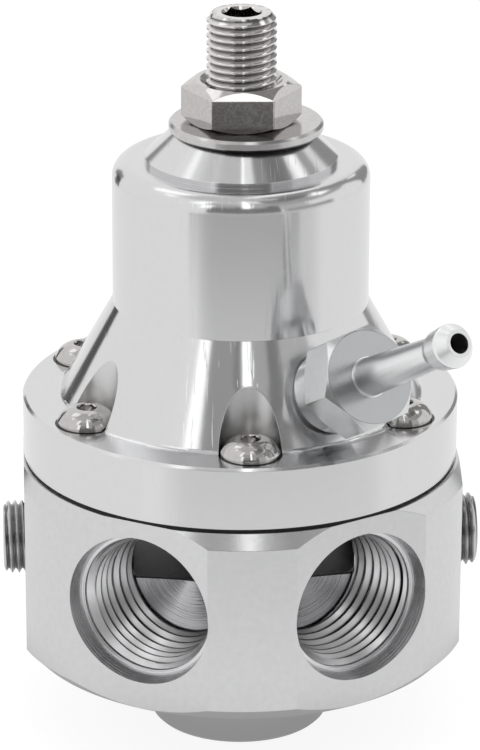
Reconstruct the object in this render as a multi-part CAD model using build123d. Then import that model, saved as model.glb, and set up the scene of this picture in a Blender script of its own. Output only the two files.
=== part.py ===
from build123d import *
import os
from math import cos, radians, sin, sqrt, tan

# Return-style fuel pressure regulator.
# Millimetres, +Z up. The origin is on the main axis at the bottom face of the boss.
# The front is -Y. An azimuth is measured from the front towards +X.

# Body, turned from round bar and milled to six flats
bar_radius = 31.75
flat_cut = 1.75
body_height = 27.15
body_edge_width = 1.3
body_edge_height = 1.9
body_under_edge_width = 1.8
body_under_edge_height = 1.85
boss_radius = 12.3
boss_height = 12.35
boss_edge = 0.5

# Straight-thread O-ring ports for the fuel lines, 3/4-16
port_azimuths = (30, 150, 210, 330)
port_height = 26.7
port_seat_radius = 10.5
port_seat_depth = 2.5
seat_angle = 12.0
port_thread_radius = 9.525
port_thread_depth = 11.8
port_drill_radius = 8.75
port_drill_depth = 14.0
port_point_angle = 135.0

# Gauge ports at the two sides, 1/8-27 pipe thread with socket plugs
plug_azimuths = {"gauge_plug_left": 270, "gauge_plug_right": 90}
gauge_height = 26.8
gauge_radius = 5.1
gauge_depth = 8.6
gauge_passage_radius = 3.0
plug_length = 10.0
plug_stand_out = 3.0
plug_round = 1.1
plug_socket_flats = 4.76
plug_socket_depth = 5.0

# Return port in the boss, 9/16-18
return_seat_radius = 8.0
return_seat_depth = 2.4
return_thread_radius = 7.144
return_thread_depth = 11.5
return_drill_radius = 6.45
return_drill_depth = 13.0
return_passage_radius = 3.2

# Fuel chamber under the diaphragm
chamber_radius = 18.0
chamber_floor_height = 24.6
chamber_fillet = 0.8

# Diaphragm, a flat sheet of coated fabric clamped at its rim
diaphragm_thickness = 0.3
diaphragm_set_back = 0.26

# Bonnet, one turned piece: flange, cone, tower and nose
flange_step = 1.79
flange_height = 8.7
flange_edge = 0.35
flange_under_edge = 0.1
flange_land_width = 5.11
cone_foot_fillet = 0.8
cone_height = 13.25
tower_radius = 17.5
tower_height = 19.85
tower_round = 2.3
nose_foot_radius = 13.1
nose_foot_height = 0.7
nose_cone_height = 3.4
nose_top_radius = 9.4
plate_bay_radius = 18.6
plate_bay_height = 6.5
spring_bay_radius = 12.7
spring_bay_height = 32.3

# Six button-head screws that hold the bonnet down, #8-32 by 3/4 inch
screw_azimuths = (0, 60, 120, 180, 240, 300)
screw_edge_distance = 5.26
screw_shank_radius = 2.083
screw_length = 19.05
screw_tip_chamfer = 0.5
screw_head_radius = 3.98
screw_head_height = 2.3
screw_head_land = 0.45
screw_head_bulge = 0.38
screw_top_radius = 1.75
screw_socket_flats = 2.38
screw_socket_depth = 1.3
screw_hole_extra = 1.6
pocket_radius = 4.22

# Adjusting screw, 3/8-24 by 1 1/2 inch, its washer and its jam nut
adjuster_radius = 4.763
adjuster_length = 38.1
adjuster_stand_out = 16.45
adjuster_chamfer = 0.5
adjuster_tip_radius = 2.6
adjuster_socket_flats = 4.76
adjuster_socket_depth = 7.0
washer_radius = 10.45
washer_thickness = 1.45
washer_edge = 0.35
washer_shift = 0.65
nut_flats = 14.05
nut_thickness = 5.75
nut_circle_radius = 6.8
nut_turn = -1.8
thread_mouth = 0.8

# Hose nipple for the manifold pressure line
nipple_azimuth = 30.0
nipple_elevation = 29.0
nipple_axis_height = 42.85
nipple_thread_radius = 4.9
nipple_thread_length = 8.3
nipple_thread_chamfer = 0.6
nipple_collar_radius = 5.6
nipple_collar_length = 3.9
nipple_stand_off = 0.75
nipple_hex_flats = 12.7
nipple_hex_length = 6.35
nipple_hex_turn = 9.6
nipple_hex_circle_radius = 6.22
nipple_tube_root_radius = 2.56
nipple_tube_end_radius = 2.14
nipple_barb_start = 16.6
nipple_barb_shoulder = 18.0
nipple_barb_shoulder_radius = 2.7
nipple_barb_crest = 20.7
nipple_barb_radius = 2.95
nipple_barb_round = 0.7
nipple_tip_radius = 1.8
nipple_hose_length = 22.2
nipple_bore_radius = 1.33

# Valve seat, an insert with a soft seal ring on its stem
seat_flange_radius = 6.4
seat_flange_height = 2.6
seat_flange_edge = 0.3
seat_lip_radius = 3.9
seat_lip_height = 0.5
seat_lip_taper = 0.4
seat_orifice_radius = 2.6
seat_stem_radius = 4.6
seat_stem_length = 5.2
seat_groove_depth = 0.9
seat_groove_width = 1.2
seat_ring_section = 0.86

# Valve, carried by the diaphragm between two plates
poppet_radius = 5.2
poppet_height = 3.6
poppet_skirt_gap = 0.4
pad_radius = 4.4
pad_thickness = 1.2
stem_radius = 3.6
stem_thread_radius = 2.413
stem_end_length = 0.8
plate_radius = 15.6
plate_round = 0.5
lower_plate_thickness = 2.0
upper_plate_thickness = 2.2
spigot_radius = 8.0
spigot_height = 2.0
stem_nut_flats = 9.525
stem_nut_height = 3.18
stem_nut_circle_radius = 4.6

# Main spring with ground ends, and the button that the adjusting screw presses on
spring_wire = 2.8
spring_outer_radius = 11.2
spring_turns = 5.0
button_radius = 12.3
button_rim_height = 2.4
button_floor = 3.1
button_hub_radius = 6.8
button_socket_radius = 5.1
button_socket_depth = 1.5

# Fits that the pieces share, and the reach of a cutter past a face
thread_clearance = 0.04
seat_clearance = 0.02
screw_hole_clearance = 0.15
washer_clearance = 0.8
drill_angle = 118.0
nut_chamfer_angle = 30.0
past_face = 1.0

# Radii that follow from the bar
flat_distance = bar_radius - flat_cut
flange_radius = bar_radius - flange_step
diaphragm_radius = flange_radius - diaphragm_set_back
cone_foot_radius = flange_radius - flange_land_width
screw_circle_radius = flange_radius - screw_edge_distance

# Heights that follow from the sizes above
body_top = boss_height + body_height
flange_bottom = body_top + diaphragm_thickness
flange_top = flange_bottom + flange_height
cone_top = flange_top + cone_height
tower_top = cone_top + tower_height
nose_top = tower_top + nose_foot_height + nose_cone_height
plate_bay_top = flange_bottom + plate_bay_height
spring_bay_top = flange_bottom + spring_bay_height
screw_tip = flange_top - screw_length
washer_top = nose_top + washer_thickness
adjuster_top = nose_top + adjuster_stand_out
adjuster_bottom = adjuster_top - adjuster_length
seat_top = chamber_floor_height + seat_flange_height + seat_lip_height
seat_bottom = chamber_floor_height - seat_stem_length
lower_plate_bottom = body_top - lower_plate_thickness
upper_plate_top = flange_bottom + upper_plate_thickness
stem_nut_bottom = upper_plate_top + spigot_height
spring_top = adjuster_bottom - button_floor

# Places along the nipple's own axis, from the main axis outwards
cone_slope = (cone_foot_radius - tower_radius) / cone_height
nipple_reach = tower_radius + (cone_top - nipple_axis_height) * cone_slope
nipple_rise = cos(radians(nipple_elevation)) + cone_slope * sin(radians(nipple_elevation))
nipple_surface = nipple_reach / nipple_rise
collar_start = nipple_surface + nipple_stand_off
nipple_start = collar_start - nipple_thread_length
hex_start = collar_start + nipple_collar_length
hose_start = hex_start + nipple_hex_length


def direction(azimuth, elevation=0.0):
    """Unit vector at an azimuth from the front and an elevation."""
    a, e = radians(azimuth), radians(elevation)
    return Vector(sin(a) * cos(e), -cos(a) * cos(e), sin(e))


def profile(points, rounds=()):
    """Face inside an outline of (radius, height) points, with some corners rounded."""
    face = make_face(Polyline(*points, close=True))
    for corner, radius in rounds:
        vertex = face.vertices().sort_by_distance(Vector(*corner))[0]
        face = fillet(vertex, radius)
    return face


def turned(points, rounds=()):
    """Solid of revolution about Z."""
    return revolve(Plane.XZ * profile(points, rounds), Axis.Z)


def rod(radius, bottom, top):
    return Pos(0, 0, bottom) * Cylinder(
        radius, top - bottom, align=(Align.CENTER, Align.CENTER, Align.MIN))


def radial(shape, azimuth, height, elevation=0.0):
    """Shape made about +Z, laid along a line that leaves the main axis at a height."""
    a = radians(azimuth)
    place = Plane(origin=(0, 0, height), x_dir=(cos(a), sin(a), 0),
                  z_dir=direction(azimuth, elevation))
    return place.location * shape


def on_screw_circle(shape, azimuth):
    return Pos(*(direction(azimuth) * screw_circle_radius)) * shape


def hexagon(flats, bottom, top, turn=0.0):
    """Hexagonal prism from its size across the flats, with a corner at the angle turn."""
    sketch = RegularPolygon(flats / 2, 6, major_radius=False, rotation=turn)
    return Pos(0, 0, bottom) * extrude(sketch, top - bottom)


def corner_radius(flats):
    return flats / sqrt(3)


def drill_point(radius, angle=drill_angle):
    """Height of the cone that a drill leaves."""
    return radius / tan(radians(angle / 2))


def socket(flats, depth, top):
    """Broached hexagon socket with a drill point below it and a bevel at its mouth."""
    bottom = top - depth
    mouth = corner_radius(flats) + seat_clearance
    core = hexagon(flats, bottom, top + past_face)
    core += turned([(0, bottom), (flats / 2, bottom), (0, bottom - drill_point(flats / 2))])
    return core + turned([(0, top + past_face), (mouth + past_face, top + past_face),
                          (0, top - mouth)])


def blunt_hexagon(flats, bottom, top, circle, turn=0.0):
    """Hexagonal prism whose corners are turned off towards a circle at both ends."""
    corner = corner_radius(flats)
    drop = (corner - circle) * tan(radians(nut_chamfer_angle))
    blank = turned([(0, bottom), (circle, bottom), (corner, bottom + drop),
                    (corner, top - drop), (circle, top), (0, top)])
    return hexagon(flats, bottom, top, turn) & blank


def port_cutter():
    """Fuel port: tapered seat, thread at its full diameter, tap drill and drill point."""
    seat = flat_distance - port_seat_depth
    seat_root = port_seat_radius - port_seat_depth * tan(radians(seat_angle))
    thread = flat_distance - port_thread_depth
    drill = flat_distance - port_drill_depth
    return turned([
        (0, flat_distance + past_face), (port_seat_radius, flat_distance + past_face),
        (port_seat_radius, flat_distance), (seat_root, seat), (port_thread_radius, seat),
        (port_thread_radius, thread), (port_drill_radius, thread), (port_drill_radius, drill),
        (0, drill - drill_point(port_drill_radius, port_point_angle))])


def gauge_cutter():
    bottom = flat_distance - gauge_depth
    inner = chamber_radius - past_face
    return turned([
        (0, flat_distance + past_face), (gauge_radius, flat_distance + past_face),
        (gauge_radius, bottom), (gauge_passage_radius, bottom), (gauge_passage_radius, inner),
        (0, inner)])


def return_cutter():
    """Return port from below, and the bore above it that holds the valve seat."""
    seat_root = return_seat_radius - return_seat_depth * tan(radians(seat_angle))
    seat_bore = seat_stem_radius + seat_clearance
    port = turned([
        (0, -past_face), (return_seat_radius, -past_face), (return_seat_radius, 0),
        (seat_root, return_seat_depth), (return_thread_radius, return_seat_depth),
        (return_thread_radius, return_thread_depth), (return_drill_radius, return_thread_depth),
        (return_drill_radius, return_drill_depth),
        (0, return_drill_depth + drill_point(return_drill_radius))])
    passage = rod(return_passage_radius, return_drill_depth, seat_bottom)
    return port + passage + rod(seat_bore, seat_bottom, chamber_floor_height + past_face)


def chamber_cutter():
    top = body_top + past_face
    return turned([(0, chamber_floor_height), (chamber_radius, chamber_floor_height),
                   (chamber_radius, top), (0, top)],
                  [((chamber_radius, chamber_floor_height), chamber_fillet)])


def tapped_hole():
    radius = screw_shank_radius + seat_clearance
    bottom = screw_tip - screw_hole_extra
    return turned([(0, bottom - drill_point(radius)), (radius, bottom),
                   (radius, body_top + past_face), (0, body_top + past_face)])


def make_body():
    blank = turned([
        (0, 0), (boss_radius - boss_edge, 0), (boss_radius, boss_edge),
        (boss_radius, boss_height), (bar_radius - body_under_edge_width, boss_height),
        (bar_radius, boss_height + body_under_edge_height),
        (bar_radius, body_top - body_edge_height), (bar_radius - body_edge_width, body_top),
        (0, body_top)])
    flats = hexagon(2 * flat_distance, boss_height, body_top, turn=30)
    body = blank & (flats + rod(boss_radius, 0, boss_height))
    body -= chamber_cutter()
    body -= return_cutter()
    for azimuth in port_azimuths:
        body -= radial(port_cutter(), azimuth, port_height)
    for azimuth in plug_azimuths.values():
        body -= radial(gauge_cutter(), azimuth, gauge_height)
    for azimuth in screw_azimuths:
        body -= on_screw_circle(tapped_hole(), azimuth)
    return body


def make_diaphragm():
    centre = stem_thread_radius + seat_clearance
    sheet = rod(diaphragm_radius, body_top, flange_bottom) - rod(centre, body_top, flange_bottom)
    hole = rod(screw_shank_radius + screw_hole_clearance, body_top, flange_bottom)
    for azimuth in screw_azimuths:
        sheet -= on_screw_circle(hole, azimuth)
    return sheet


def bonnet_blank():
    """The turned bonnet with its bays and its central thread."""
    thread = adjuster_radius + thread_clearance
    nose_foot = tower_top + nose_foot_height
    foot = (cone_foot_radius, flange_top)
    shoulder = (tower_radius, tower_top)
    return turned(
        [(plate_bay_radius, flange_bottom), (flange_radius - flange_under_edge, flange_bottom),
         (flange_radius, flange_bottom + flange_under_edge),
         (flange_radius, flange_top - flange_edge),
         (flange_radius - flange_edge, flange_top), foot, (tower_radius, cone_top), shoulder,
         (nose_foot_radius, tower_top), (nose_foot_radius, nose_foot),
         (nose_top_radius, nose_top), (thread + thread_mouth, nose_top),
         (thread, nose_top - thread_mouth), (thread, spring_bay_top),
         (spring_bay_radius, spring_bay_top), (spring_bay_radius, plate_bay_top),
         (plate_bay_radius, plate_bay_top)],
        [(foot, cone_foot_fillet), (shoulder, tower_round)])


def make_bonnet():
    bonnet = bonnet_blank()
    pocket = rod(pocket_radius, flange_top, cone_top + past_face)
    hole = rod(screw_shank_radius + screw_hole_clearance, flange_bottom, flange_top)
    for azimuth in screw_azimuths:
        bonnet -= on_screw_circle(pocket, azimuth)
        bonnet -= on_screw_circle(hole, azimuth)
    bore = rod(nipple_thread_radius + seat_clearance, nipple_start, hex_start)
    bore += rod(nipple_bore_radius, 0, nipple_start)
    return bonnet - radial(bore, nipple_azimuth, nipple_axis_height, nipple_elevation)


def screw_head_dome():
    """Edge from the land at the head's rim up to its flat top."""
    low = Vector(screw_head_radius, flange_top + screw_head_land)
    high = Vector(screw_top_radius, flange_top + screw_head_height)
    outwards = Vector(high.Y - low.Y, low.X - high.X).normalized()
    return ThreePointArc(low, (low + high) / 2 + outwards * screw_head_bulge, high)


def make_cover_screw(azimuth):
    """Button-head screw: domed head with a land at its rim, shank and chamfered tip."""
    dome = screw_head_dome()
    head_top = flange_top + screw_head_height
    sides = Polyline(
        dome @ 1, (0, head_top), (0, screw_tip), (screw_shank_radius - screw_tip_chamfer, screw_tip),
        (screw_shank_radius, screw_tip + screw_tip_chamfer), (screw_shank_radius, flange_top),
        (screw_head_radius, flange_top), dome @ 0)
    screw = revolve(Plane.XZ * make_face(dome.edges() + sides.edges()), Axis.Z)
    screw -= socket(screw_socket_flats, screw_socket_depth, head_top)
    return on_screw_circle(screw, azimuth)


def make_gauge_plug(azimuth):
    """Pipe plug with a rounded outer end, a hexagon socket and a chamfered inner end."""
    outer = flat_distance + plug_stand_out
    inner = outer - plug_length
    radius = gauge_radius - seat_clearance
    plug = turned([(0, inner), (radius - plug_round, inner), (radius, inner + plug_round),
                   (radius, outer), (0, outer)], [((radius, outer), plug_round)])
    plug -= socket(plug_socket_flats, plug_socket_depth, outer)
    return radial(plug, azimuth, gauge_height)


def make_washer():
    """Flat washer with a loose hole, lying off the screw's centre."""
    bore = adjuster_radius + washer_clearance
    return Pos(washer_shift, 0, 0) * turned([
        (bore, nose_top), (washer_radius - washer_edge, nose_top),
        (washer_radius, nose_top + washer_edge), (washer_radius, washer_top - washer_edge),
        (washer_radius - washer_edge, washer_top), (bore, washer_top)])


def make_jam_nut():
    top = washer_top + nut_thickness
    bore = adjuster_radius + thread_clearance
    mouth = bore + thread_mouth
    nut = blunt_hexagon(nut_flats, washer_top, top, nut_circle_radius, nut_turn)
    return nut - turned([
        (0, washer_top), (mouth, washer_top), (bore, washer_top + thread_mouth),
        (bore, top - thread_mouth), (mouth, top), (0, top)])


def make_adjusting_screw():
    tip_height = adjuster_radius - adjuster_tip_radius
    screw = turned([
        (0, adjuster_bottom), (adjuster_tip_radius, adjuster_bottom),
        (adjuster_radius, adjuster_bottom + tip_height),
        (adjuster_radius, adjuster_top - adjuster_chamfer),
        (adjuster_radius - adjuster_chamfer, adjuster_top), (0, adjuster_top)])
    return screw - socket(adjuster_socket_flats, adjuster_socket_depth, adjuster_top)


def nipple_hose_end():
    """Tapered tube with one barb, which the hose is pushed over."""
    start, tip = hose_start, hose_start + nipple_hose_length
    crest = (nipple_barb_radius, hose_start + nipple_barb_crest)
    return turned(
        [(0, start), (nipple_tube_root_radius, start),
         (nipple_tube_end_radius, start + nipple_barb_start),
         (nipple_barb_shoulder_radius, start + nipple_barb_shoulder), crest,
         (nipple_tip_radius, tip), (0, tip)],
        [(crest, nipple_barb_round)])


def make_nipple():
    """Hose nipple: threaded end, round collar, hexagon and hose end, bored right through."""
    nipple = turned([
        (0, nipple_start), (nipple_thread_radius - nipple_thread_chamfer, nipple_start),
        (nipple_thread_radius, nipple_start + nipple_thread_chamfer),
        (nipple_thread_radius, collar_start), (nipple_collar_radius, collar_start),
        (nipple_collar_radius, hex_start), (0, hex_start)])
    nipple += blunt_hexagon(nipple_hex_flats, hex_start, hose_start, nipple_hex_circle_radius,
                            nipple_hex_turn)
    nipple += nipple_hose_end()
    nipple -= rod(nipple_bore_radius, nipple_start, hose_start + nipple_hose_length)
    return radial(nipple, nipple_azimuth, nipple_axis_height, nipple_elevation)


def seat_groove_middle():
    return (seat_bottom + chamber_floor_height) / 2


def make_valve_seat():
    """Seat insert: flange on the chamber floor, grooved stem in the body and a raised lip."""
    floor = chamber_floor_height
    rim = floor + seat_flange_height
    groove_radius = seat_stem_radius - seat_groove_depth
    low = seat_groove_middle() - seat_groove_width / 2
    high = seat_groove_middle() + seat_groove_width / 2
    return turned([
        (seat_orifice_radius, seat_bottom), (seat_stem_radius, seat_bottom),
        (seat_stem_radius, low), (groove_radius, low), (groove_radius, high),
        (seat_stem_radius, high), (seat_stem_radius, floor), (seat_flange_radius, floor),
        (seat_flange_radius, rim - seat_flange_edge), (seat_flange_radius - seat_flange_edge, rim),
        (seat_lip_radius, rim), (seat_lip_radius - seat_lip_taper, seat_top),
        (seat_orifice_radius, seat_top)])


def make_seat_ring():
    radius = seat_ring_section / 2
    centre = seat_stem_radius - seat_groove_depth + radius + seat_clearance
    return Pos(0, 0, seat_groove_middle()) * Torus(centre, radius)


def make_valve_stem():
    """Poppet with a recess for its pad, shoulder under the plates and a thread for the nut."""
    pad_top = seat_top + pad_thickness
    recess = pad_radius + seat_clearance
    head = seat_top + poppet_height
    top = stem_nut_bottom + stem_nut_height + stem_end_length
    return turned([
        (0, pad_top), (recess, pad_top), (recess, seat_top + poppet_skirt_gap),
        (poppet_radius, seat_top + poppet_skirt_gap), (poppet_radius, head), (stem_radius, head),
        (stem_radius, lower_plate_bottom), (stem_thread_radius, lower_plate_bottom),
        (stem_thread_radius, top), (0, top)])


def make_lower_plate():
    bore = stem_thread_radius + seat_clearance
    rim = (plate_radius, body_top)
    return turned([(bore, lower_plate_bottom), (plate_radius, lower_plate_bottom), rim,
                   (bore, body_top)], [(rim, plate_round)])


def make_upper_plate():
    """Plate above the diaphragm, with a spigot that centres the spring."""
    bore = stem_thread_radius + seat_clearance
    rim = (plate_radius, flange_bottom)
    return turned([(bore, flange_bottom), rim, (plate_radius, upper_plate_top),
                   (spigot_radius, upper_plate_top), (spigot_radius, stem_nut_bottom),
                   (bore, stem_nut_bottom)], [(rim, plate_round)])


def make_stem_nut():
    top = stem_nut_bottom + stem_nut_height
    nut = blunt_hexagon(stem_nut_flats, stem_nut_bottom, top, stem_nut_circle_radius)
    return nut - rod(stem_thread_radius + seat_clearance, stem_nut_bottom, top)


def make_spring():
    """Round-wire helix between the upper plate and the button, with its ends ground flat."""
    height = spring_top - upper_plate_top
    path = Helix(height / spring_turns, height, spring_outer_radius - spring_wire / 2)
    section = Plane(origin=path @ 0, z_dir=path % 0) * Circle(spring_wire / 2)
    coil = Pos(0, 0, upper_plate_top) * sweep(section, path=path, is_frenet=True)
    return coil & rod(spring_outer_radius + past_face, upper_plate_top, spring_top)


def make_button():
    """Spring button: spigot into the spring, rim on its end, and a socket for the screw."""
    rim_top = spring_top + button_rim_height
    spigot_bottom = spring_top - spigot_height
    top = adjuster_bottom + button_socket_depth
    return turned([
        (0, spigot_bottom), (spigot_radius, spigot_bottom), (spigot_radius, spring_top),
        (button_radius, spring_top), (button_radius, rim_top), (button_hub_radius, rim_top),
        (button_hub_radius, top), (button_socket_radius, top),
        (button_socket_radius, adjuster_bottom), (0, adjuster_bottom)])


def make_parts():
    parts = {
        "body": make_body(),
        "diaphragm": make_diaphragm(),
        "bonnet": make_bonnet(),
        "washer": make_washer(),
        "jam_nut": make_jam_nut(),
        "adjusting_screw": make_adjusting_screw(),
        "hose_nipple": make_nipple(),
        "valve_seat": make_valve_seat(),
        "seat_ring": make_seat_ring(),
        "valve_stem": make_valve_stem(),
        "valve_pad": rod(pad_radius, seat_top, seat_top + pad_thickness),
        "lower_plate": make_lower_plate(),
        "upper_plate": make_upper_plate(),
        "stem_nut": make_stem_nut(),
        "main_spring": make_spring(),
        "spring_button": make_button(),
    }
    for name, azimuth in plug_azimuths.items():
        parts[name] = make_gauge_plug(azimuth)
    for number, azimuth in enumerate(screw_azimuths, start=1):
        parts[f"cover_screw_{number}"] = make_cover_screw(azimuth)
    return parts


os.makedirs("parts", exist_ok=True)
for node, shape in make_parts().items():
    export_step(shape, f"parts/{node}.step")
    print(node, round(shape.volume, 2))
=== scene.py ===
from math import cos, pi, radians, sin, sqrt, tan

import bmesh
import bpy
import numpy as np
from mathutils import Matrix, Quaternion, Vector


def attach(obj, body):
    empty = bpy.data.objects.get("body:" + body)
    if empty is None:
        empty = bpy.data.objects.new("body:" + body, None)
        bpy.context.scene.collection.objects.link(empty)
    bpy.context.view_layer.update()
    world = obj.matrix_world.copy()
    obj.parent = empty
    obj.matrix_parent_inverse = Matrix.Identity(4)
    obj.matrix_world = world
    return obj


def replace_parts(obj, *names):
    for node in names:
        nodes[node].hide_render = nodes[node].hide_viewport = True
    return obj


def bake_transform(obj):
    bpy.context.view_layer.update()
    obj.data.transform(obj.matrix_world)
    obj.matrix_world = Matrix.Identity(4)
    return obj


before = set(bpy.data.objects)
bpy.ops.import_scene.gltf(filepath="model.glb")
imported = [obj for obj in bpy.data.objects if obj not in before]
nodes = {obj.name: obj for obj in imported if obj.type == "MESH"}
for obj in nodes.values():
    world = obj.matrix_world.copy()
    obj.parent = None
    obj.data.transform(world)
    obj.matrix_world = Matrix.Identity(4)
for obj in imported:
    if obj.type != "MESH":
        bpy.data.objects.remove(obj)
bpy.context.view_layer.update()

# Fuel pressure regulator. Everything is in metres in the CAD frame: +Z up, front at -Y.
# An azimuth is measured from the front towards +X, as in the CAD source. The settings'
# lengths are in millimetres and their angles in degrees.
mm = 0.001
print("stage: frame loaded,", len(nodes), "CAD nodes")


# Meshes from grids

# Direction with this azimuth and elevation, for two numbers or two grids of them.
def heading(azimuth, elevation=0.0):
    a, e = np.radians(azimuth), np.radians(elevation)
    return np.stack([np.sin(a) * np.cos(e), -np.cos(a) * np.cos(e), np.sin(e) + 0 * a], axis=-1)


# A grid of points (rows, columns) becomes quads, with a named value at each point if one is given.
def gridMesh(name, points, label=None, values=None):
    rows, columns = points.shape[:2]
    index = np.arange(rows * columns).reshape(rows, columns)
    quads = np.stack([index[:-1, :-1], index[:-1, 1:], index[1:, 1:], index[1:, :-1]], axis=-1)
    mesh = bpy.data.meshes.new(name)
    mesh.from_pydata(points.reshape(-1, 3).tolist(), [], quads.reshape(-1, 4).tolist())
    if values is not None:
        mesh.attributes.new(label, "FLOAT", "POINT").data.foreach_set("value", values.ravel())
    return mesh


def addObject(name, data):
    thing = bpy.data.objects.new(name, data)
    bpy.context.scene.collection.objects.link(thing)
    return thing


# A visible piece from a grid in millimetres; the seam, the poles and the ends are welded. The
# groove value is 1 at the bottom of a thread and 0 on its crest.
def gridPiece(name, points, body, material, sharpAngle=38.0, groove=None,
              weldReach=3e-7):
    mesh = gridMesh(name, points * mm, "groove", groove)
    work = bmesh.new()
    work.from_mesh(mesh)
    bmesh.ops.remove_doubles(work, verts=work.verts, dist=weldReach)
    bmesh.ops.recalc_face_normals(work, faces=work.faces)
    work.to_mesh(mesh)
    work.free()
    mesh.shade_smooth()
    mesh.set_sharp_from_angle(angle=radians(sharpAngle))
    mesh.materials.append(material)
    piece = addObject(name, mesh)
    if body:
        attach(piece, body)
    return piece


# Rings about +Z: each row has one radius and one height, or one of each for every column.
def rings(radii, heights, columns):
    turn = np.linspace(0, 2 * pi, columns + 1)
    wide = [np.asarray(v, float) for v in (radii, heights)]
    radius, height = [v[:, None] * np.ones(columns + 1) if v.ndim == 1 else v for v in wide]
    return np.stack([radius * np.cos(turn), radius * np.sin(turn), height], axis=-1)


# Lays points made about +Z along a level line that leaves the main axis at a height.
def laidRadially(points, azimuth, height):
    across, along = heading(azimuth + 90), heading(azimuth)
    up = np.cross(along, across)
    return points @ np.stack([across, up, along]) + np.array([0.0, 0.0, height])


# One pitch of a thread: places in the pitch, and the depth there as a share of the full depth.
# The outer one is a rounded vee. The inner one has a wide flank that faces the mouth.
outerProfile = {
    "places": np.array([0, 0.05, 0.1, 0.25, 0.4, 0.45, 0.5, 0.55, 0.6, 0.75, 0.9, 0.95]),
    "depths": np.array([0, 0.02, 0.12, 0.5, 0.88, 0.98, 1, 0.98, 0.88, 0.5, 0.12, 0.02])}
innerProfile = {
    "places": np.array([0, 0.06, 0.12, 0.18, 0.24, 0.30, 0.36, 0.5, 0.70, 0.76, 0.82, 0.91]),
    "depths": np.array([1, 0.84, 0.67, 0.50, 0.34, 0.17, 0, 0, 0, 0.5, 1, 1])}


# A right-hand helix: a row climbs by one pitch in a turn, and its radius is the widest one less the
# thread's depth at that place. Heights past the ends are pressed back onto them. It gives radius,
# height and the share of the depth.
def helixRows(s, low, high, profile=outerProfile):
    first = np.floor(low / s["pitch"]) - 2
    turns = int(np.ceil(high / s["pitch"]) - first) + 2
    steps = (np.arange(turns)[:, None] + profile["places"]).ravel() + first
    climb = np.linspace(0, 1, s["columns"] + 1)
    height = np.clip((steps[:, None] + climb) * s["pitch"], low, high)
    shares = np.tile(profile["depths"], turns)[:, None] * np.ones(s["columns"] + 1)
    return s["radius"] - s["depth"] * shares, height, shares


# Radius of a hexagon with this size across its flats, for every column of a ring: half that size
# over the cosine of the angle from the nearest side's middle.
def hexagonRadius(flats, columns):
    angle = np.linspace(0, 2 * pi, columns + 1)
    return flats / 2 / np.cos((angle % (pi / 3)) - pi / 6)


# Shader tools

def newNode(tree, kind, **values):
    node = tree.nodes.new(kind)
    for name, value in values.items():
        setattr(node, name, value)
    return node


# Gives each named input its value, or a link where the value is another node's output.
def feed(tree, node, values):
    for label, value in values.items():
        if isinstance(value, bpy.types.NodeSocket):
            tree.links.new(value, node.inputs[label])
        else:
            node.inputs[label].default_value = value
    return node


def mathNode(tree, operation, *values, clamp=False):
    node = newNode(tree, "ShaderNodeMath", operation=operation, use_clamp=clamp)
    return feed(tree, node, dict(enumerate(values))).outputs[0]


def times(tree, first, second):
    return mathNode(tree, "MULTIPLY", first, second)


# Masks of the places where a distance is below or above a limit in millimetres.
def below(tree, distance, limit):
    return mathNode(tree, "LESS_THAN", distance, limit * mm)


def above(tree, distance, limit):
    return mathNode(tree, "GREATER_THAN", distance, limit * mm)


def vectorMath(tree, operation, first, second=None):
    node = newNode(tree, "ShaderNodeVectorMath", operation=operation)
    tree.links.new(first, node.inputs[0])
    if second is not None:
        tree.links.new(second, node.inputs[1])
    return node.outputs["Value" if operation in ("LENGTH", "DOT_PRODUCT") else "Vector"]


def split(tree, vector):
    return feed(tree, newNode(tree, "ShaderNodeSeparateXYZ"), {"Vector": vector}).outputs


def join(tree, *values):
    node = newNode(tree, "ShaderNodeCombineXYZ")
    return feed(tree, node, dict(enumerate(values))).outputs[0]


def noiseNode(tree, dimensions="3D", **inputs):
    node = newNode(tree, "ShaderNodeTexNoise", noise_dimensions=dimensions)
    return feed(tree, node, inputs).outputs["Fac"]


def mapRange(tree, value, source, target=(0.0, 1.0)):
    values = dict(zip(("From Min", "From Max", "To Min", "To Max"), (*source, *target)))
    node = newNode(tree, "ShaderNodeMapRange")
    return feed(tree, node, {"Value": value, **values}).outputs[0]


def mixNode(tree, factor, first, second, kind="FLOAT"):
    node = newNode(tree, "ShaderNodeMix", data_type=kind)
    return feed(tree, node, {"Factor": factor, "A": first, "B": second}).outputs["Result"]


def objectPlace(tree):
    return newNode(tree, "ShaderNodeTexCoord").outputs["Object"]


# Distance from the main axis.
def axisRadius(tree, x, y):
    return mathNode(tree, "SQRT", mathNode(tree, "MULTIPLY_ADD", x, x, times(tree, y, y)))


# A group whose first input is a position; the others are given as label, kind and default.
def newGroup(name, inputs, outputs):
    group = bpy.data.node_groups.new(name, "ShaderNodeTree")
    group.interface.new_socket(name="Position", in_out="INPUT", socket_type="NodeSocketVector")
    for label, kind, default in inputs:
        socket = group.interface.new_socket(name=label, in_out="INPUT", socket_type=kind)
        socket.default_value = default
    for label in outputs:
        group.interface.new_socket(name=label, in_out="OUTPUT", socket_type="NodeSocketFloat")
    given = newNode(group, "NodeGroupInput").outputs
    return group, given, newNode(group, "NodeGroupOutput")


def placeGroup(tree, group, **values):
    return feed(tree, newNode(tree, "ShaderNodeGroup", node_tree=group), values).outputs


# Tool marks of turning: noise over radius and height that hardly changes round the axis.
def makeTurnedLines(turnShare=0.7):
    group, given, out = newGroup("turnedLines", [("Fineness", "NodeSocketFloat", 6.0)], ["Height"])
    x, y, z = split(group, given["Position"])
    scale = times(group, given["Fineness"], 1 / mm)
    place = join(group, times(group, axisRadius(group, x, y), scale), times(group, z, scale),
                 times(group, mathNode(group, "ARCTAN2", y, x), turnShare))
    height = noiseNode(group, Vector=place, Scale=1.0, Detail=3.0, Roughness=0.65)
    feed(group, out, {"Height": height})
    return group


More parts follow.
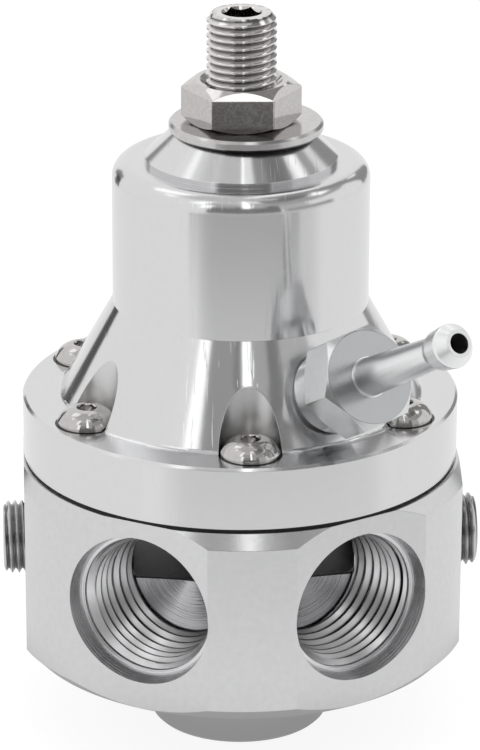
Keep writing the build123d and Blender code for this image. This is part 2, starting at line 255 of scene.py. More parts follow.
handlingMarks = {"smearScale": 140.0, "smearDetail": 5.0, "scratchTurn": (0.5, 0.9, 0.35),
                 "scratchScale": (2400.0, 90.0, 140.0), "scratchBend": 0.6,
                 "scratchRange": (0.64, 0.68)}


# Handling marks: soft smears and a few thin scratches, as two masks.
def makeHandling(s):
    group, given, out = newGroup("handling", [("Amount", "NodeSocketFloat", 0.5)],
                                 ["Smears", "Scratches"])
    smears = noiseNode(group, Vector=given["Position"], Scale=s["smearScale"],
                       Detail=s["smearDetail"])
    stretch = feed(group, newNode(group, "ShaderNodeMapping"), {
        "Vector": given["Position"], "Rotation": s["scratchTurn"],
        "Scale": s["scratchScale"]})
    lines = noiseNode(group, Vector=stretch.outputs[0], Scale=1.0, Detail=1.0,
                      Distortion=s["scratchBend"])
    scratches = mapRange(group, lines, s["scratchRange"])
    feed(group, out, {"Smears": times(group, smears, given["Amount"]),
                      "Scratches": times(group, scratches, given["Amount"])})
    return group


# Crystal-like grain of cast or rolled steel: a height, and a coarser mottle for the colour.
def makeGrain(fineness=9000.0, mottleShare=0.12):
    group, given, out = newGroup("metalGrain", [("Size", "NodeSocketFloat", 1.0)],
                                 ["Height", "Mottle"])
    scale = mathNode(group, "DIVIDE", fineness, given["Size"])
    for label, detail, share in (("Height", 3.0, 1.0), ("Mottle", 4.0, mottleShare)):
        noise = noiseNode(group, Vector=given["Position"], Detail=detail,
                          Scale=times(group, scale, share))
        feed(group, out, {label: noise})
    return group


# Distance from a bore's axis, and how far along it, for a line that crosses the main axis.
def makeBoreDistance():
    group, given, out = newGroup(
        "boreDistance", [("Centre", "NodeSocketVector", (0, 0, 0)),
                         ("Direction", "NodeSocketVector", (0, 1, 0))], ["Distance", "Along"])
    away = vectorMath(group, "SUBTRACT", given["Position"], given["Centre"])
    cross = vectorMath(group, "CROSS_PRODUCT", away, given["Direction"])
    along = vectorMath(group, "DOT_PRODUCT", away, given["Direction"])
    feed(group, out, {"Distance": vectorMath(group, "LENGTH", cross),
                      "Along": mathNode(group, "ABSOLUTE", along)})
    return group


portPlaces = {"height": 26.7, "azimuths": (30, 150), "seatRadius": 10.52, "seatReach": 29.98,
              "drillReach": 18.4, "chamberRadius": 18.06, "chamberFloor": 24.4,
              "bossRadius": 12.5, "bossTop": 12.3}
ringFineness = 5200.0


# Fine rings round a bore's axis.
def boreRings(tree, distance, along):
    place = join(tree, times(tree, distance, ringFineness), times(tree, along, ringFineness))
    return noiseNode(tree, Vector=place, Scale=1.0, Detail=2.0)


# Where the body's ports are: masks of their seats and of the drilled ends, the fuel chamber's
# room and the boss, and fine rings round whichever port axis is nearer.
def makePortMarks(boreDistance, s):
    group, given, out = newGroup("portMarks", [],
                                 ["Seat", "Drilled", "Chamber", "Boss", "Rings"])
    place = given["Position"]
    lines = [placeGroup(group, boreDistance, Position=place, Centre=(0, 0, s["height"] * mm),
                        Direction=tuple(heading(azimuth))) for azimuth in s["azimuths"]]
    distances = [line["Distance"] for line in lines]
    near = mathNode(group, "MINIMUM", *distances)
    along = mixNode(group, mathNode(group, "LESS_THAN", *distances),
                    lines[1]["Along"], lines[0]["Along"])
    x, y, z = split(group, place)
    radius = axisRadius(group, x, y)
    inPort = below(group, near, s["seatRadius"])
    feed(group, out, {
        "Seat": times(group, inPort, below(group, along, s["seatReach"])),
        "Drilled": times(group, inPort, below(group, along, s["drillReach"])),
        "Chamber": times(group, below(group, radius, s["chamberRadius"]),
                         above(group, z, s["chamberFloor"])),
        "Boss": times(group, below(group, radius, s["bossRadius"]), below(group, z, s["bossTop"])),
        "Rings": boreRings(group, near, along)})
    return group


pocketPlaces = {"circle": 24.7, "radius": 4.3, "floor": 48.52, "gapTop": 48.56,
                "lineFineness": 3600.0}


# Where the bonnet's screw pockets are: a mask of their walls, one of the narrow gap round each
# screw's head, and level lines. The six places are folded onto one by the angle's remainder, and
# the distance from its axis follows from the law of cosines.
def makePocketMarks(s):
    group, given, out = newGroup("pocketMarks", [], ["Wall", "Gap", "Lines"])
    x, y, z = split(group, given["Position"])
    radius = axisRadius(group, x, y)
    angle = mathNode(group, "ARCTAN2", x, y)
    folded = mathNode(group, "ABSOLUTE", mathNode(group, "WRAP", angle, pi / 6, -pi / 6))
    reach = times(group, radius, mathNode(group, "COSINE", folded))
    circle = s["circle"] * mm
    square = mathNode(group, "MULTIPLY_ADD", reach, -2 * circle, times(group, radius, radius))
    away = mathNode(group, "SQRT", mathNode(group, "ADD", square, circle ** 2))
    inPocket = below(group, away, s["radius"])
    feed(group, out, {
        "Wall": times(group, inPocket, above(group, z, s["floor"])),
        "Gap": times(group, inPocket, below(group, z, s["gapTop"])),
        "Lines": noiseNode(group, "1D", W=z, Scale=s["lineFineness"], Detail=2.0)})
    return group


turnedLines = makeTurnedLines()
handling = makeHandling(handlingMarks)
metalGrain = makeGrain()
boreDistance = makeBoreDistance()
portMarks = makePortMarks(boreDistance, portPlaces)
pocketMarks = makePocketMarks(pocketPlaces)


# Lays a colour over a material's base colour where a mask says so.
def layColour(tree, mask, colour):
    goal = tree.nodes["Principled BSDF"].inputs["Base Color"]
    mixed = mixNode(tree, mask, goal.links[0].from_socket, (*colour, 1), "RGBA")
    tree.links.new(mixed, goal)


# The same for its roughness.
def layRoughness(tree, mask, value):
    goal = tree.nodes["Principled BSDF"].inputs["Roughness"]
    tree.links.new(mixNode(tree, mask, goal.links[0].from_socket, value), goal)


# Adds to the height that bends a material's normal.
def addHeight(tree, height, amount):
    goal = next(n for n in tree.nodes if n.type == "BUMP").inputs["Height"]
    tree.links.new(mathNode(tree, "MULTIPLY_ADD", height, amount, goal.links[0].from_socket), goal)


def newMaterial(name):
    material = bpy.data.materials.new(name)
    material.use_nodes = True
    return material, material.node_tree, material.node_tree.nodes["Principled BSDF"]


# What a finish has where it says nothing else. Bump heights are in thousandths of a millimetre.
plainFinish = {"anisotropic": 0.0, "lines": 0.0, "fineness": 6.0, "grain": 0.0, "grainSize": 1.0,
               "handling": 0.5, "scratches": 0.0, "edge": 0.0, "groove": 0.0, "grooveShadeFade": 3.0}
bumpUnit = 1e-6


# A metal finish: base colour, roughness that the smears change, and marks that bend the normal;
# a thread finish also gets painted shade in its roots.
def metal(name, given):
    finish = {**plainFinish, "colourLow": given["colour"], **given}
    material, tree, shader = newMaterial(name)
    feed(tree, shader, {"Metallic": 1.0, "Anisotropic": finish["anisotropic"],
                        "Anisotropic Rotation": 0.25})
    place = objectPlace(tree)
    marks = placeGroup(tree, handling, Position=place, Amount=finish["handling"])
    lines = placeGroup(tree, turnedLines, Position=place, Fineness=finish["fineness"])
    grain = placeGroup(tree, metalGrain, Position=place, Size=finish["grainSize"])
    tint = mixNode(tree, grain["Mottle"], (*finish["colour"], 1), (*finish["colourLow"], 1), "RGBA")
    rough = mapRange(tree, marks["Smears"], (0.0, finish["handling"]), finish["roughness"])
    feed(tree, shader, {"Base Color": tint, "Roughness": rough})
    # Painted shade: where the groove value nears 1, at the thread's roots, the base colour goes
    # towards black.
    if finish["groove"]:
        share = newNode(tree, "ShaderNodeAttribute", attribute_name="groove").outputs["Fac"]
        share = mathNode(tree, "POWER", share, finish["grooveShadeFade"])
        layColour(tree, times(tree, share, finish["groove"]), (0.01, 0.01, 0.01))

    height = times(tree, lines["Height"], finish["lines"])
    height = mathNode(tree, "MULTIPLY_ADD", grain["Height"], finish["grain"], height)
    height = mathNode(tree, "MULTIPLY_ADD", marks["Scratches"], -finish["scratches"], height)
    bump = feed(tree, newNode(tree, "ShaderNodeBump"), {
        "Strength": 1.0, "Distance": bumpUnit, "Height": height})
    tree.links.new(bump.outputs[0], shader.inputs["Normal"])
    if finish["edge"]:
        rounded = feed(tree, newNode(tree, "ShaderNodeBevel", samples=4),
                       {"Radius": finish["edge"] * mm})
        tree.links.new(rounded.outputs[0], bump.inputs["Normal"])
    return material


# Finishes

finishes = {
    "polishedAluminium": {"colour": (0.72, 0.72, 0.725), "colourLow": (0.69, 0.69, 0.70),
                          "roughness": (0.13, 0.18), "anisotropic": 0.85, "lines": 0.6,
                          "fineness": 7.0, "scratches": 8.0, "grain": 0.12, "edge": 0.1},
    "satinAluminium": {"colour": (0.69, 0.69, 0.695), "colourLow": (0.62, 0.62, 0.63),
                       "roughness": (0.17, 0.28), "anisotropic": 0.2, "lines": 0.6,
                       "fineness": 5.0, "scratches": 2.0, "grain": 0.15, "edge": 0.12},
    # The plates and the spring button inside the housing: machined aluminium, its colour set lower
    # than the outer aluminium's, partly as painted shade inside the housing.
    "machinedAluminium": {"colour": (0.60, 0.595, 0.60), "colourLow": (0.52, 0.52, 0.53),
                          "roughness": (0.16, 0.26), "grain": 0.3, "edge": 0.06},
    # The ports' threads: a lighter copy of the body's aluminium, a painted highlight for the light
    # on their flanks; the groove entry paints shade into their roots.
    "threadedAluminium": {"colour": (0.90, 0.895, 0.90), "colourLow": (0.66, 0.66, 0.67),
                          "roughness": (0.26, 0.36), "grain": 0.8, "grainSize": 2.0,
                          "edge": 0.05, "groove": 0.97, "grooveShadeFade": 8.0},
    "satinNipple": {"colour": (0.76, 0.765, 0.77), "colourLow": (0.68, 0.69, 0.69),
                    "roughness": (0.15, 0.24), "grain": 0.2, "edge": 0.09},
    "stainlessSteel": {"colour": (0.64, 0.625, 0.61), "colourLow": (0.48, 0.465, 0.455),
                       "roughness": (0.05, 0.11), "grain": 0.5, "handling": 1.0, "edge": 0.08},
    # The adjusting screw's thread: a lighter copy of the stainless steel, a painted highlight for
    # the light on its flanks; the groove entry paints shade into its roots.
    "threadedSteel": {"colour": (0.86, 0.84, 0.825), "colourLow": (0.62, 0.605, 0.59),
                      "roughness": (0.06, 0.13), "grain": 1.0, "handling": 0.8, "edge": 0.05,
                      "groove": 0.8},
    "nutSteel": {"colour": (0.70, 0.68, 0.67), "colourLow": (0.52, 0.50, 0.49),
                 "roughness": (0.07, 0.14), "grain": 0.35, "grainSize": 0.6, "handling": 0.8,
                 "edge": 0.12},
    "washerSteel": {"colour": (0.66, 0.65, 0.645), "colourLow": (0.50, 0.49, 0.485),
                    "roughness": (0.14, 0.26), "grain": 1.0, "grainSize": 0.8, "edge": 0.1},
    # The groove entry paints shade into the plugs' thread roots.
    "plugSteel": {"colour": (0.66, 0.66, 0.665), "colourLow": (0.44, 0.44, 0.445),
                  "roughness": (0.14, 0.24), "grain": 0.5, "handling": 0.8, "edge": 0.06,
                  "groove": 0.6},
    "springSteel": {"colour": (0.32, 0.32, 0.33), "roughness": (0.25, 0.35), "grain": 0.4},
    "seatBrass": {"colour": (0.30, 0.26, 0.20), "colourLow": (0.2, 0.17, 0.12),
                  "roughness": (0.18, 0.28), "lines": 0.5, "grain": 0.2, "edge": 0.05},
}
materials = {name: metal(name, finish) for name, finish in finishes.items()}

# The Chamber colour is painted shade inside the housing, and the Drilled colour is painted shade
# deep in the ports.
bodyDress = {
    "colours": {"Boss": (0.66, 0.655, 0.66), "Seat": (0.72, 0.72, 0.73),
                "Drilled": (0.47, 0.47, 0.485), "Chamber": (0.045, 0.045, 0.047)},
    "roughness": {"Chamber": 0.4, "Boss": 0.22}, "ringHeight": 60.0, "bossFineness": 3.0,
    "bossLines": 3.0}


# The body's ports, chamber and boss: dark brushed seats, ringed drill ends painted darker as
# painted shade deep in the ports, the chamber painted near black as painted shade inside the
# housing, and a boss that keeps its tool marks.
def dressBody(material, s):
    tree = material.node_tree
    place = objectPlace(tree)
    marks = placeGroup(tree, portMarks, Position=place)
    for label, colour in s["colours"].items():
        layColour(tree, marks[label], colour)
    for label, roughness in s["roughness"].items():
        layRoughness(tree, marks[label], roughness)
    addHeight(tree, times(tree, marks["Rings"], marks["Seat"]), s["ringHeight"])
    lines = placeGroup(tree, turnedLines, Position=place, Fineness=s["bossFineness"])
    addHeight(tree, times(tree, lines["Height"], marks["Boss"]), s["bossLines"])


# The gap colour is painted shade round each screw's head.
pocketDress = {"gap": (0.03, 0.03, 0.03), "wall": (0.66, 0.66, 0.66), "roughness": 0.30,
               "lineHeight": 6.0}


# The bonnet's pockets: level tool marks on their walls, and the narrow gap round each screw's
# head painted near black as painted shade.
def dressBonnet(material, s):
    tree = material.node_tree
    marks = placeGroup(tree, pocketMarks, Position=objectPlace(tree))
    # Painted shade in the gap round each screw's head.
    layColour(tree, marks["Gap"], s["gap"])
    layColour(tree, marks["Wall"], s["wall"])
    layRoughness(tree, marks["Wall"], s["roughness"])
    addHeight(tree, times(tree, marks["Lines"], marks["Wall"]), s["lineHeight"])


washerDress = {"shadowTop": 85.96, "shadow": (0.02, 0.02, 0.02)}


# The washer's lower bevel is in its own shadow.
def dressWasher(material, s):
    tree = material.node_tree
    z = split(tree, objectPlace(tree))[2]
    layColour(tree, below(tree, z, s["shadowTop"]), s["shadow"])


# The edge colour is a painted highlight round the tube's root; the disc colour is painted shade and
# the tube colour painted light.
nippleDress = {
    "azimuth": 30, "elevation": 29, "height": 42.85, "discBottom": 35.42, "discTop": 35.5,
    "tubeRadius": 2.62, "glintRadius": 2.73, "tube": (0.86, 0.865, 0.87), "tubeRoughness": 0.27,
    "disc": (0.50, 0.515, 0.52), "edge": (0.97, 0.975, 0.98), "discRings": 14.0, "tubeRings": 4.0}


# The nipple as it was turned: a ringed face painted darker as painted shade, a bright ring round
# the tube's root as a painted highlight, and the tube painted lighter as painted light. The
# distances are along and away from the nipple's own axis.
def dressNipple(material, s):
    tree = material.node_tree
    axis = placeGroup(tree, boreDistance, Position=objectPlace(tree),
                      Centre=(0, 0, s["height"] * mm),
                      Direction=tuple(heading(s["azimuth"], s["elevation"])))
    away, along = axis["Distance"], axis["Along"]
    tube = above(tree, along, s["discTop"])
    disc = times(tree, above(tree, away, s["tubeRadius"]), above(tree, along, s["discBottom"]))
    disc = times(tree, disc, mathNode(tree, "SUBTRACT", 1.0, tube))
    # Painted light: the tube is a lighter copy of the nipple's metal.
    layColour(tree, tube, s["tube"])
    layRoughness(tree, tube, s["tubeRoughness"])
    # Painted shade: the face is a darker copy of the nipple's metal.
    layColour(tree, disc, s["disc"])
    # Painted highlight: a bright ring round the tube's root.
    layColour(tree, times(tree, disc, below(tree, away, s["glintRadius"])), s["edge"])
    marks = boreRings(tree, away, along)
    addHeight(tree, times(tree, marks, disc), s["discRings"])
    addHeight(tree, times(tree, marks, tube), s["tubeRings"])


nutDress = {"fineness": 2600.0, "spots": (0.38, 0.66), "amounts": (0.5, 0.9), "flatTop": 91.7,
            "frontPlane": -6.75, "elsewhere": 0.35, "colour": (0.26, 0.245, 0.235)}


# The nut's flats: a fine brown-grey mottling of the plating, laid on most heavily in front,
# where the extra darkness is painted shade.
def dressNut(material, s):
    tree = material.node_tree
    place = objectPlace(tree)
    x, y, z = split(tree, place)
    noise = noiseNode(tree, Vector=place, Scale=s["fineness"], Detail=4.0)
    spots = mapRange(tree, noise, s["spots"], s["amounts"])
    # The front flats get more of the mottling: that extra is painted shade.
    front = mathNode(tree, "MULTIPLY_ADD", below(tree, y, s["frontPlane"]), 1 - s["elsewhere"],
                     s["elsewhere"])
    mottleAndFrontShade = times(tree, spots, times(tree, below(tree, z, s["flatTop"]), front))
    layColour(tree, mottleAndFrontShade, s["colour"])


dressNut(materials["nutSteel"], nutDress)
dressNipple(materials["satinNipple"], nippleDress)
dressWasher(materials["washerSteel"], washerDress)
dressBody(materials["satinAluminium"], bodyDress)
dressBonnet(materials["polishedAluminium"], pocketDress)


# Coated fabric or rubber: dark, matt and slightly uneven.
def rubber(name, colour, roughness, grainSize=1.5, unevenness=8e-6, darkShare=0.5):
    material, tree, shader = newMaterial(name)
    grain = placeGroup(tree, metalGrain, Position=objectPlace(tree), Size=grainSize)
    dark = [c * darkShare for c in colour]
    bump = feed(tree, newNode(tree, "ShaderNodeBump"),
                {"Distance": unevenness, "Height": grain["Height"]})
    feed(tree, shader, {
        "Base Color": mixNode(tree, grain["Mottle"], (*colour, 1), (*dark, 1), "RGBA"),
        "Normal": bump.outputs[0], "Roughness": roughness})
    return material


materials["blackRubber"] = rubber("blackRubber", (0.02, 0.02, 0.021), 0.6)

# The finish of each CAD node; the cover screws, the stem and its nut are of stainless steel.
nodeFinishes = {
    "body": "satinAluminium", "bonnet": "polishedAluminium", "diaphragm": "blackRubber",
    "washer": "washerSteel", "jam_nut": "nutSteel", "adjusting_screw": "threadedSteel",
    "hose_nipple": "satinNipple", "gauge_plug_left": "plugSteel",
    "gauge_plug_right": "plugSteel", "valve_seat": "seatBrass", "seat_ring": "blackRubber",
    "valve_pad": "blackRubber", "lower_plate": "machinedAluminium",
    "upper_plate": "machinedAluminium", "main_spring": "springSteel",
    "spring_button": "machinedAluminium",
}
for name, node in nodes.items():
    node.data.materials.clear()
    node.data.materials.append(materials[nodeFinishes.get(name, "stainlessSteel")])
print("stage: finishes on the CAD nodes")


# Adjusting screw

adjuster = {"radius": 4.763, "start": 64.05, "end": 102.15, "chamfer": 0.8, "tip": 2.6,
            "pitch": 25.4 / 24, "depth": 0.58, "flats": 4.76, "socketDepth": 7.0, "columns": 96}


# Closes a threaded bar: a flat face at its start; at its end the face, the socket's bevel, its six
# walls and the drill's cone. The bevel meets a wall where the cone reaches the hexagon's radius.
def socketed(s, radius, height, groove, play=0.02, coneDepth=1.4):
    flat = np.ones(s["columns"] + 1)
    wall = hexagonRadius(s["flats"], s["columns"])
    mouth = s["flats"] / sqrt(3) + play
    floor = s["end"] - s["socketDepth"]
    radius = np.vstack([0 * flat, radius, mouth * flat, wall, wall, s["flats"] / 2 * flat,
                        0 * flat])
    height = np.vstack([s["start"] * flat, height, s["end"] * flat, s["end"] - (mouth - wall),
                        floor * flat, floor * flat, (floor - coneDepth) * flat])
    groove = np.vstack([0 * flat, groove, np.zeros((5, s["columns"] + 1))])
    return rings(radius, height, s["columns"]), groove


# Thread under a chamfer at each end: the radius is the smallest of the helix's and the two cones'.
def makeAdjuster(s):
    radius, height, groove = helixRows(s, s["start"], s["end"])
    upper = s["radius"] - s["chamfer"] + (s["end"] - height)
    lower = s["tip"] + (height - s["start"])
    radius = np.minimum(radius, np.minimum(upper, lower))
    points, groove = socketed(s, radius, height, groove)
    piece = gridPiece("adjusterThreaded", points, "adjusting_screw",
                      materials["threadedSteel"], groove=groove)
    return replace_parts(piece, "adjusting_screw")


makeAdjuster(adjuster)
print("stage: adjusting screw")


# Jam nut

jamNut = {"flats": 14.05, "bottom": 87.15, "top": 92.9, "turn": -1.8, "circle": 6.3,
          "footCircle": 6.8, "facetDrop": 1.15, "facetSlope": 0.5, "coneAngle": 30, "bore": 4.803,
          "mouth": 0.8, "sharpAngle": 20.0, "columns": 144}


# Hexagon whose sides lean in above a level line and are then cut by a cone, so that a bright lens
# stands over each side. The cone meets the leaning side where their radii agree.
def makeNut(s):
    side = hexagonRadius(s["flats"], s["columns"])
    rise = tan(radians(s["coneAngle"]))
    lean = s["facetSlope"] * side / (s["flats"] / 2)
    drop = (side - lean * s["facetDrop"] - s["circle"]) / (1 / rise - lean)
    top, bottom, bore = s["top"], s["bottom"], s["bore"]
    mouth = bore + s["mouth"]
    profile = [(bore, bottom + s["mouth"]), (mouth, bottom), (s["footCircle"], bottom),
               (side, bottom + (side - s["footCircle"]) * rise), (side, top - s["facetDrop"]),
               (s["circle"] + drop / rise, top - drop), (s["circle"], top), (mouth, top),
               (bore, top - s["mouth"]), (bore, bottom + s["mouth"])]
    radius, height = [np.stack([part + 0 * side for part in parts]) for parts in zip(*profile)]
    t = radians(s["turn"])
    points = rings(radius, height, s["columns"]) @ np.array(
        [[cos(t), sin(t), 0], [-sin(t), cos(t), 0], [0, 0, 1]])
    piece = gridPiece("nutLeaned", points, "jam_nut", materials["nutSteel"],
                      s["sharpAngle"])
    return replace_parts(piece, "jam_nut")


makeNut(jamNut)
print("stage: jam nut")


# Main spring

mainSpring = {"radius": 9.8, "wire": 2.8, "turns": 5.0, "bottom": 42.0, "top": 60.95,
              "around": 20, "perTurn": 64, "sharpAngle": 45.0}


# Part of the spring. A helix: the centre line goes round at one radius and climbs evenly with
# the angle; the wire's circle stands across it, and both ends are
# ground flat.
def springHalf(name, s, first, last):
    turns = np.linspace(first, last, int((last - first) * s["perTurn"]) + 1)
    climb = (s["top"] - s["bottom"]) / s["turns"]
    angle = 2 * pi * turns
    none = 0 * angle
    out = np.stack([np.cos(angle), np.sin(angle), none], axis=-1)
    centre = s["radius"] * out + np.stack([none, none, s["bottom"] + climb * turns], axis=-1)
    slope = none + climb / (2 * pi * s["radius"])
    ahead = np.stack([-np.sin(angle), np.cos(angle), slope], axis=-1)
    upward = np.cross(out, ahead / np.linalg.norm(ahead, axis=1)[:, None])
    around = np.linspace(0, 2 * pi, s["around"] + 1)[None, :, None]
    wire = s["wire"] / 2 * (np.cos(around) * out[:, None] + np.sin(around) * upward[:, None])
    cap = np.zeros_like(wire[:1])
    points = centre[[0, *range(len(turns)), -1], None] + np.concatenate([cap, wire, cap])
    points[..., 2] = np.clip(points[..., 2], s["bottom"], s["top"])
    piece = gridPiece(name, points, None, materials["springSteel"],
                      s["sharpAngle"])
    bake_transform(piece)
    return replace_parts(piece, "main_spring")


# Two halves: the lower one from the first turn to the middle, the upper one from there to the last.
def makeSpring(s):
    half, reach = s["turns"] / 2, s["wire"] / 2
    springHalf("springLower", s, 0, half)
    springHalf("springUpper", s, half, s["turns"])


makeSpring(mainSpring)
print("stage: main spring")


# Gauge plugs

plug = {"radius": 5.08, "start": 23.0, "end": 33.0, "round": 1.1, "pitch": 25.4 / 27,
        "depth": 0.62, "flats": 4.76, "socketDepth": 5.0, "height": 26.8, "columns": 96}


# Pipe thread that fades under a rounded outer edge, a quarter circle, and a plain inner chamfer.
def makePlug(name, node, azimuth, s):
    radius, height, groove = helixRows(s, s["start"], s["end"])
    left = np.clip((s["end"] - height) / s["round"], 0, 1)
    outer = s["radius"] - s["round"] * (1 - np.sqrt(np.clip(1 - (1 - left) ** 2, 0, 1)))
    inner = s["radius"] - s["round"] + (height - s["start"])
    radius = np.minimum(radius, np.minimum(outer, inner))
    points, groove = socketed(s, radius, height, groove)
    piece = gridPiece(name, laidRadially(points, azimuth, s["height"]), "housing",
                      materials["plugSteel"], groove=groove)
    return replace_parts(piece, node)


makePlug("plugThreadedLeft", "gauge_plug_left", 270, plug)
makePlug("plugThreadedRight", "gauge_plug_right", 90, plug)
print("stage: gauge plugs")


# Port threads

portThread = {"radius": 9.22, "depth": 0.56, "pitch": 25.4 / 16, "inner": 16.1, "outer": 27.52,
              "mouth": 9.96, "leadIn": 0.85, "step": 18.21, "closing": 3.2, "drill": 8.74,
              "back": ((27.52, 10.2), (26.0, 9.65), (18.4, 9.65), (16.1, 8.9)),
              "height": 26.7, "chamber": 18.06, "floor": 24.6, "columns": 144}
portAzimuths = {"frontRight": 30, "backRight": 150, "backLeft": 210, "frontLeft": 330}
returnThread = {"radius": 7.135, "depth": 0.68, "pitch": 25.4 / 18, "inner": 2.42, "outer": 11.48,
                "mouth": 7.45, "leadIn": 1.0, "back": ((11.48, 7.25), (4.0, 7.25), (2.42, 7.7)),
                "columns": 96}


# Internal thread: the helix turned inside out and opened by a tapered lead-in at its mouth, closed
# behind by a plain wall that lies in the metal round it. A port's thread closes in towards the
# step, until its grooves are as wide as the tap drill.
def threadRing(s, mouthAtOuter=True):
    radius, height, share = helixRows(s, s["inner"], s["outer"], innerProfile)
    if "step" in s:
        closed = np.clip((s["step"] + s["closing"] - height) / s["closing"], 0, 1)
        radius = radius - (s["radius"] - s["drill"]) * closed
    gap = s["outer"] - height if mouthAtOuter else height - s["inner"]
    opened = s["mouth"] - s["leadIn"] * gap
    share = np.where(opened > radius, 1.0, share)
    radius = np.maximum(radius, opened)
    behind = np.array(s["back"])[:, :, None] * np.ones(s["columns"] + 1)
    radius = np.vstack([behind[-1:, 1], radius, behind[:, 1]])
    height = np.vstack([behind[-1:, 0], height, behind[:, 0]])
    groove = np.vstack([0 * behind[-1:, 1], 1 - share, 0 * behind[:, 1]])
    return rings(radius, height, s["columns"]), groove


# Above the chamber's floor the thread ends at the chamber's round wall, so points beyond that
# wall move back onto it. Here x is level, y upright and z along the port.
def endAtChamber(points, s):
    x, y, z = np.moveaxis(points, -1, 0)
    wall = np.sqrt(s["chamber"] ** 2 - x ** 2)
    inside = y + s["height"] > s["floor"]
    return np.stack([x, y, np.where(inside, np.maximum(z, wall), z)], axis=-1)


def threadPiece(name, points, groove):
    gridPiece(name, points, "housing", materials["threadedAluminium"],
              groove=groove)


points, groove = threadRing(portThread)
points = endAtChamber(points, portThread)
for label, azimuth in portAzimuths.items():
    threadPiece("portThread_" + label, laidRadially(points, azimuth, portThread["height"]), groove)
threadPiece("returnThread", *threadRing(returnThread, mouthAtOuter=False))
print("stage: port threads")


# Camera

cameraPlace = {"target": (-0.04, 0.0, 50.33), "distance": 549.73, "azimuth": -3.191,
               "elevation": 20.889, "lens": 191.4, "sensor": 36.0, "roll": 0.22,
               "clip": (0.01, 20.0)}


def makeCamera(s):
    back = Vector(heading(s["azimuth"], s["elevation"]))
    camera = addObject("camera", bpy.data.cameras.new("camera"))
    camera.data.lens = s["lens"]
    camera.data.sensor_width = s["sensor"]
    camera.location = (Vector(s["target"]) + back * s["distance"]) * mm
    turn = (-back).to_track_quat("-Z", "Y") @ Quaternion((0, 0, 1), radians(s["roll"]))
    camera.rotation_euler = turn.to_euler()
    camera.data.clip_start, camera.data.clip_end = s["clip"]
    bpy.context.scene.camera = camera


makeCamera(cameraPlace)


# Floor, tent, world and lamps. These sizes are in metres.

studio = {"floorColour": 0.22, "floorGlow": 0.86, "floorRadius": 3.0, "floorEdge": 0.018,
          "floorInner": 0.02, "floorRings": 140, "floorColumns": 241, "worldFill": 0.62,
          "wall": 0.95, "ceiling": 0.66, "ceilingStart": 62, "ceilingEdge": 10,
          "tentRadius": 1.5, "tentCentre": 0.06, "tentRim": -4, "tentRings": 142,
          "tentColumns": 541, "lampCentre": 0.05}

# What polished metal sees round it: azimuth and elevation ranges, brightness, softness in degrees.
tentPanels = [
    ((-33, 33), (-16, 42), 0.22, 1.5), ((-33, -9), (30, 42), 0.39, 2),
    ((8, 21), (30, 42), 0.52, 2), ((-42, 30), (42, 60), 0.52, 3),
    ((36, 84), (-14, 14), 0.38, 5), ((33, 60), (14, 36), 0.58, 4),
    ((60, 132), (36, 54), 0.42, 4), ((30, 62), (36, 54), 0.45, 4),
    ((58, 112), (55, 73), 0.22, 4), ((28, 60), (54, 78), 0.30, 4),
    ((112, 150), (58, 78), 0.30, 4), ((131, 156), (-6, 62), 0.32, 2),
    ((-155, -140), (1, 19), 0.28, 2), ((-1.5, 6.5), (32, 56), 2.20, 1.2),
    ((-1, 7), (52, 80), 2.00, 2), ((3, 30), (69, 76), 1.45, 2),
    ((-41.5, -31), (24, 44), 1.60, 1.0), ((-58, -42), (42, 66), 1.50, 2),
    ((-148, -137), (-20, 10), 0.08, 1), ((-156, -120), (48, 65), 1.45, 3),
    ((-106, -92), (49, 57), 1.45, 2), ((94, 120), (46, 57), 1.50, 2),
    ((118, 122), (25, 36), 1.0, 1.5), ((162, 172), (40, 76), 1.35, 2),
    ((146, 153), (26, 33), 1.35, 2)]
# The same for the floor: azimuth range, distance range in metres, brightness, softness. The
# first one, darker within 5 cm of the middle, is a painted shadow under the object in reflections.
floorPanels = [((-200, 200), (-1, 0.050), 0.55, 4), ((-33, 66), (0.095, 9), 0.84, 14),
               ((-34, 62), (0.155, 9), 0.76, 20), ((-34, 44), (0.185, 9), 0.68, 22),
               ((-34, 40), (0.215, 0.33), 0.60, 22), ((-48, 48), (0.25, 0.32), 0.08, 3),
               ((-50, -40), (0.12, 0.24), 1.0, 4), ((-148, -137), (0.35, 9), 0.20, 1)]


# Rises from 0 to 1 over the edge's width, along a cubic.
def softStep(value, edge, width):
    x = np.clip((value - edge) / width + 0.5, 0, 1)
    return x * x * (3 - 2 * x)


# Brightness over a grid: each panel is laid over the ones before it.
def layPanels(base, across, up, panels, upSoftness=None):
    glow = base * np.ones_like(across)
    for (a0, a1), (u0, u1), value, soft in panels:
        upSoft = soft if upSoftness is None else upSoftness
        mask = softStep(across, a0, soft) * softStep(-across, -a1, soft)
        mask = mask * softStep(up, u0, upSoft) * softStep(-up, -u1, upSoft)
        glow = glow * (1 - mask) + value * mask
    return glow


# A staged surface that carries its brightness at each point of its grid.
def stagedSurface(name, points, glow, material):
    mesh = gridMesh(name, points, "glow", glow)
    mesh.materials.append(material)
    surface = addObject(name, mesh)
    return surface


# A material that can give out white light, with the output that reads the grid's brightness. It is
# no light source of its own to the renderer.
def glowingMaterial(name, colour, roughness):
    material, tree, shader = newMaterial(name)
    feed(tree, shader, {"Base Color": (*[colour] * 3, 1), "Roughness": roughness,
                        "Specular IOR Level": 0.0, "Emission Color": (1, 1, 1, 1)})
    material.cycles.emission_sampling = "NONE"
    glow = newNode(tree, "ShaderNodeAttribute", attribute_name="glow").outputs["Fac"]
    return material, tree, shader, glow


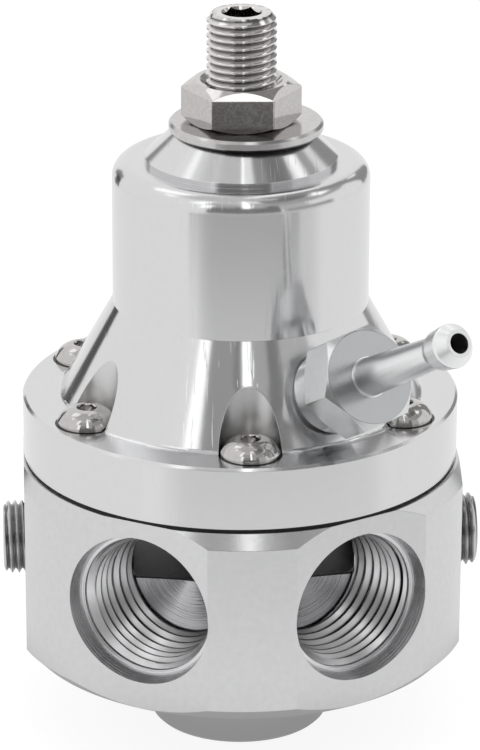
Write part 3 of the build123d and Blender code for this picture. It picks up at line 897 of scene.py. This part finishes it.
# White to the camera; in reflections it keeps its own brightness, and it takes the shadow. A flat
# disc: each point is a distance times a level direction.
def makeFloor(s):
    material, tree, shader, glow = glowingMaterial("paleFloor", s["floorColour"], 0.8)
    path = newNode(tree, "ShaderNodeLightPath").outputs
    mirrored = mathNode(tree, "SUBTRACT", glow, s["floorColour"] * 0.95, clamp=True)
    seen = times(tree, path["Is Glossy Ray"], mirrored)
    seen = mathNode(tree, "MULTIPLY_ADD", path["Is Camera Ray"], s["floorGlow"], seen)
    tree.links.new(seen, shader.inputs["Emission Strength"])
    spread = np.geomspace(s["floorInner"], s["floorRadius"], s["floorRings"])
    azimuth, distance = np.meshgrid(np.linspace(-180, 180, s["floorColumns"]), [0.0, *spread])
    glow = layPanels(s["wall"], azimuth, distance, floorPanels, s["floorEdge"])
    stagedSurface("floor", distance[..., None] * heading(azimuth), glow, material)


# A dome that only reflections see, darker towards its top: each point is the dome's radius times a
# direction, from a rim below the level up to its top.
def makeTent(s):
    material, tree, shader, glow = glowingMaterial("tentCloth", 0.0, 0.5)
    tree.links.new(glow, shader.inputs["Emission Strength"])
    azimuth, elevation = np.meshgrid(np.linspace(-180, 180, s["tentColumns"]),
                                     np.linspace(s["tentRim"], 90, s["tentRings"]))
    points = s["tentRadius"] * heading(azimuth, elevation) + np.array([0, 0, s["tentCentre"]])
    top = softStep(elevation, s["ceilingStart"], s["ceilingEdge"])
    base = s["wall"] + (s["ceiling"] - s["wall"]) * top
    tent = stagedSurface("tent", points, layPanels(base, azimuth, elevation, tentPanels), material)
    tent.visible_camera = tent.visible_diffuse = tent.visible_shadow = False


# White at strength 1 where it is seen or mirrored, and a plain fill for everything else.
def makeWorld(s):
    world = bpy.data.worlds.new("studioWorld")
    world.use_nodes = True
    tree = world.node_tree
    strength = s["worldFill"]
    path = newNode(tree, "ShaderNodeLightPath").outputs
    for label in ("Is Camera Ray", "Is Glossy Ray", "Is Transmission Ray"):
        strength = mathNode(tree, "MAXIMUM", path[label], strength)
    feed(tree, tree.nodes["Background"], {"Strength": strength, "Color": (1, 1, 1, 1)})
    bpy.context.scene.world = world


# An area lamp at an azimuth, elevation and distance from the object's middle, facing it. The
# metal sees the tent instead of the lamps.
def softLamp(name, azimuth, elevation, distance, size, power):
    away = Vector(heading(azimuth, elevation))
    data = bpy.data.lights.new(name, "AREA")
    data.shape = "RECTANGLE"
    data.size, data.size_y = size
    data.energy = power
    lamp = addObject(name, data)
    lamp.location = Vector((0, 0, studio["lampCentre"])) + away * distance
    lamp.rotation_euler = (-away).to_track_quat("-Z", "Y").to_euler()
    lamp.visible_glossy = False


makeFloor(studio)
makeTent(studio)
makeWorld(studio)
# Azimuth, elevation, distance, size and power of each lamp.
lamps = {"lampTop": (0, 75, 1.2, (0.9, 0.9), 3.0), "lampLeft": (-60, 40, 1.2, (0.6, 0.9), 2.0),
         "lampRight": (65, 40, 1.2, (0.6, 0.9), 1.5)}
for name, place in lamps.items():
    softLamp(name, *place)
bpy.context.scene.view_settings.view_transform = "Standard"
print("stage: camera, floor and lamps")
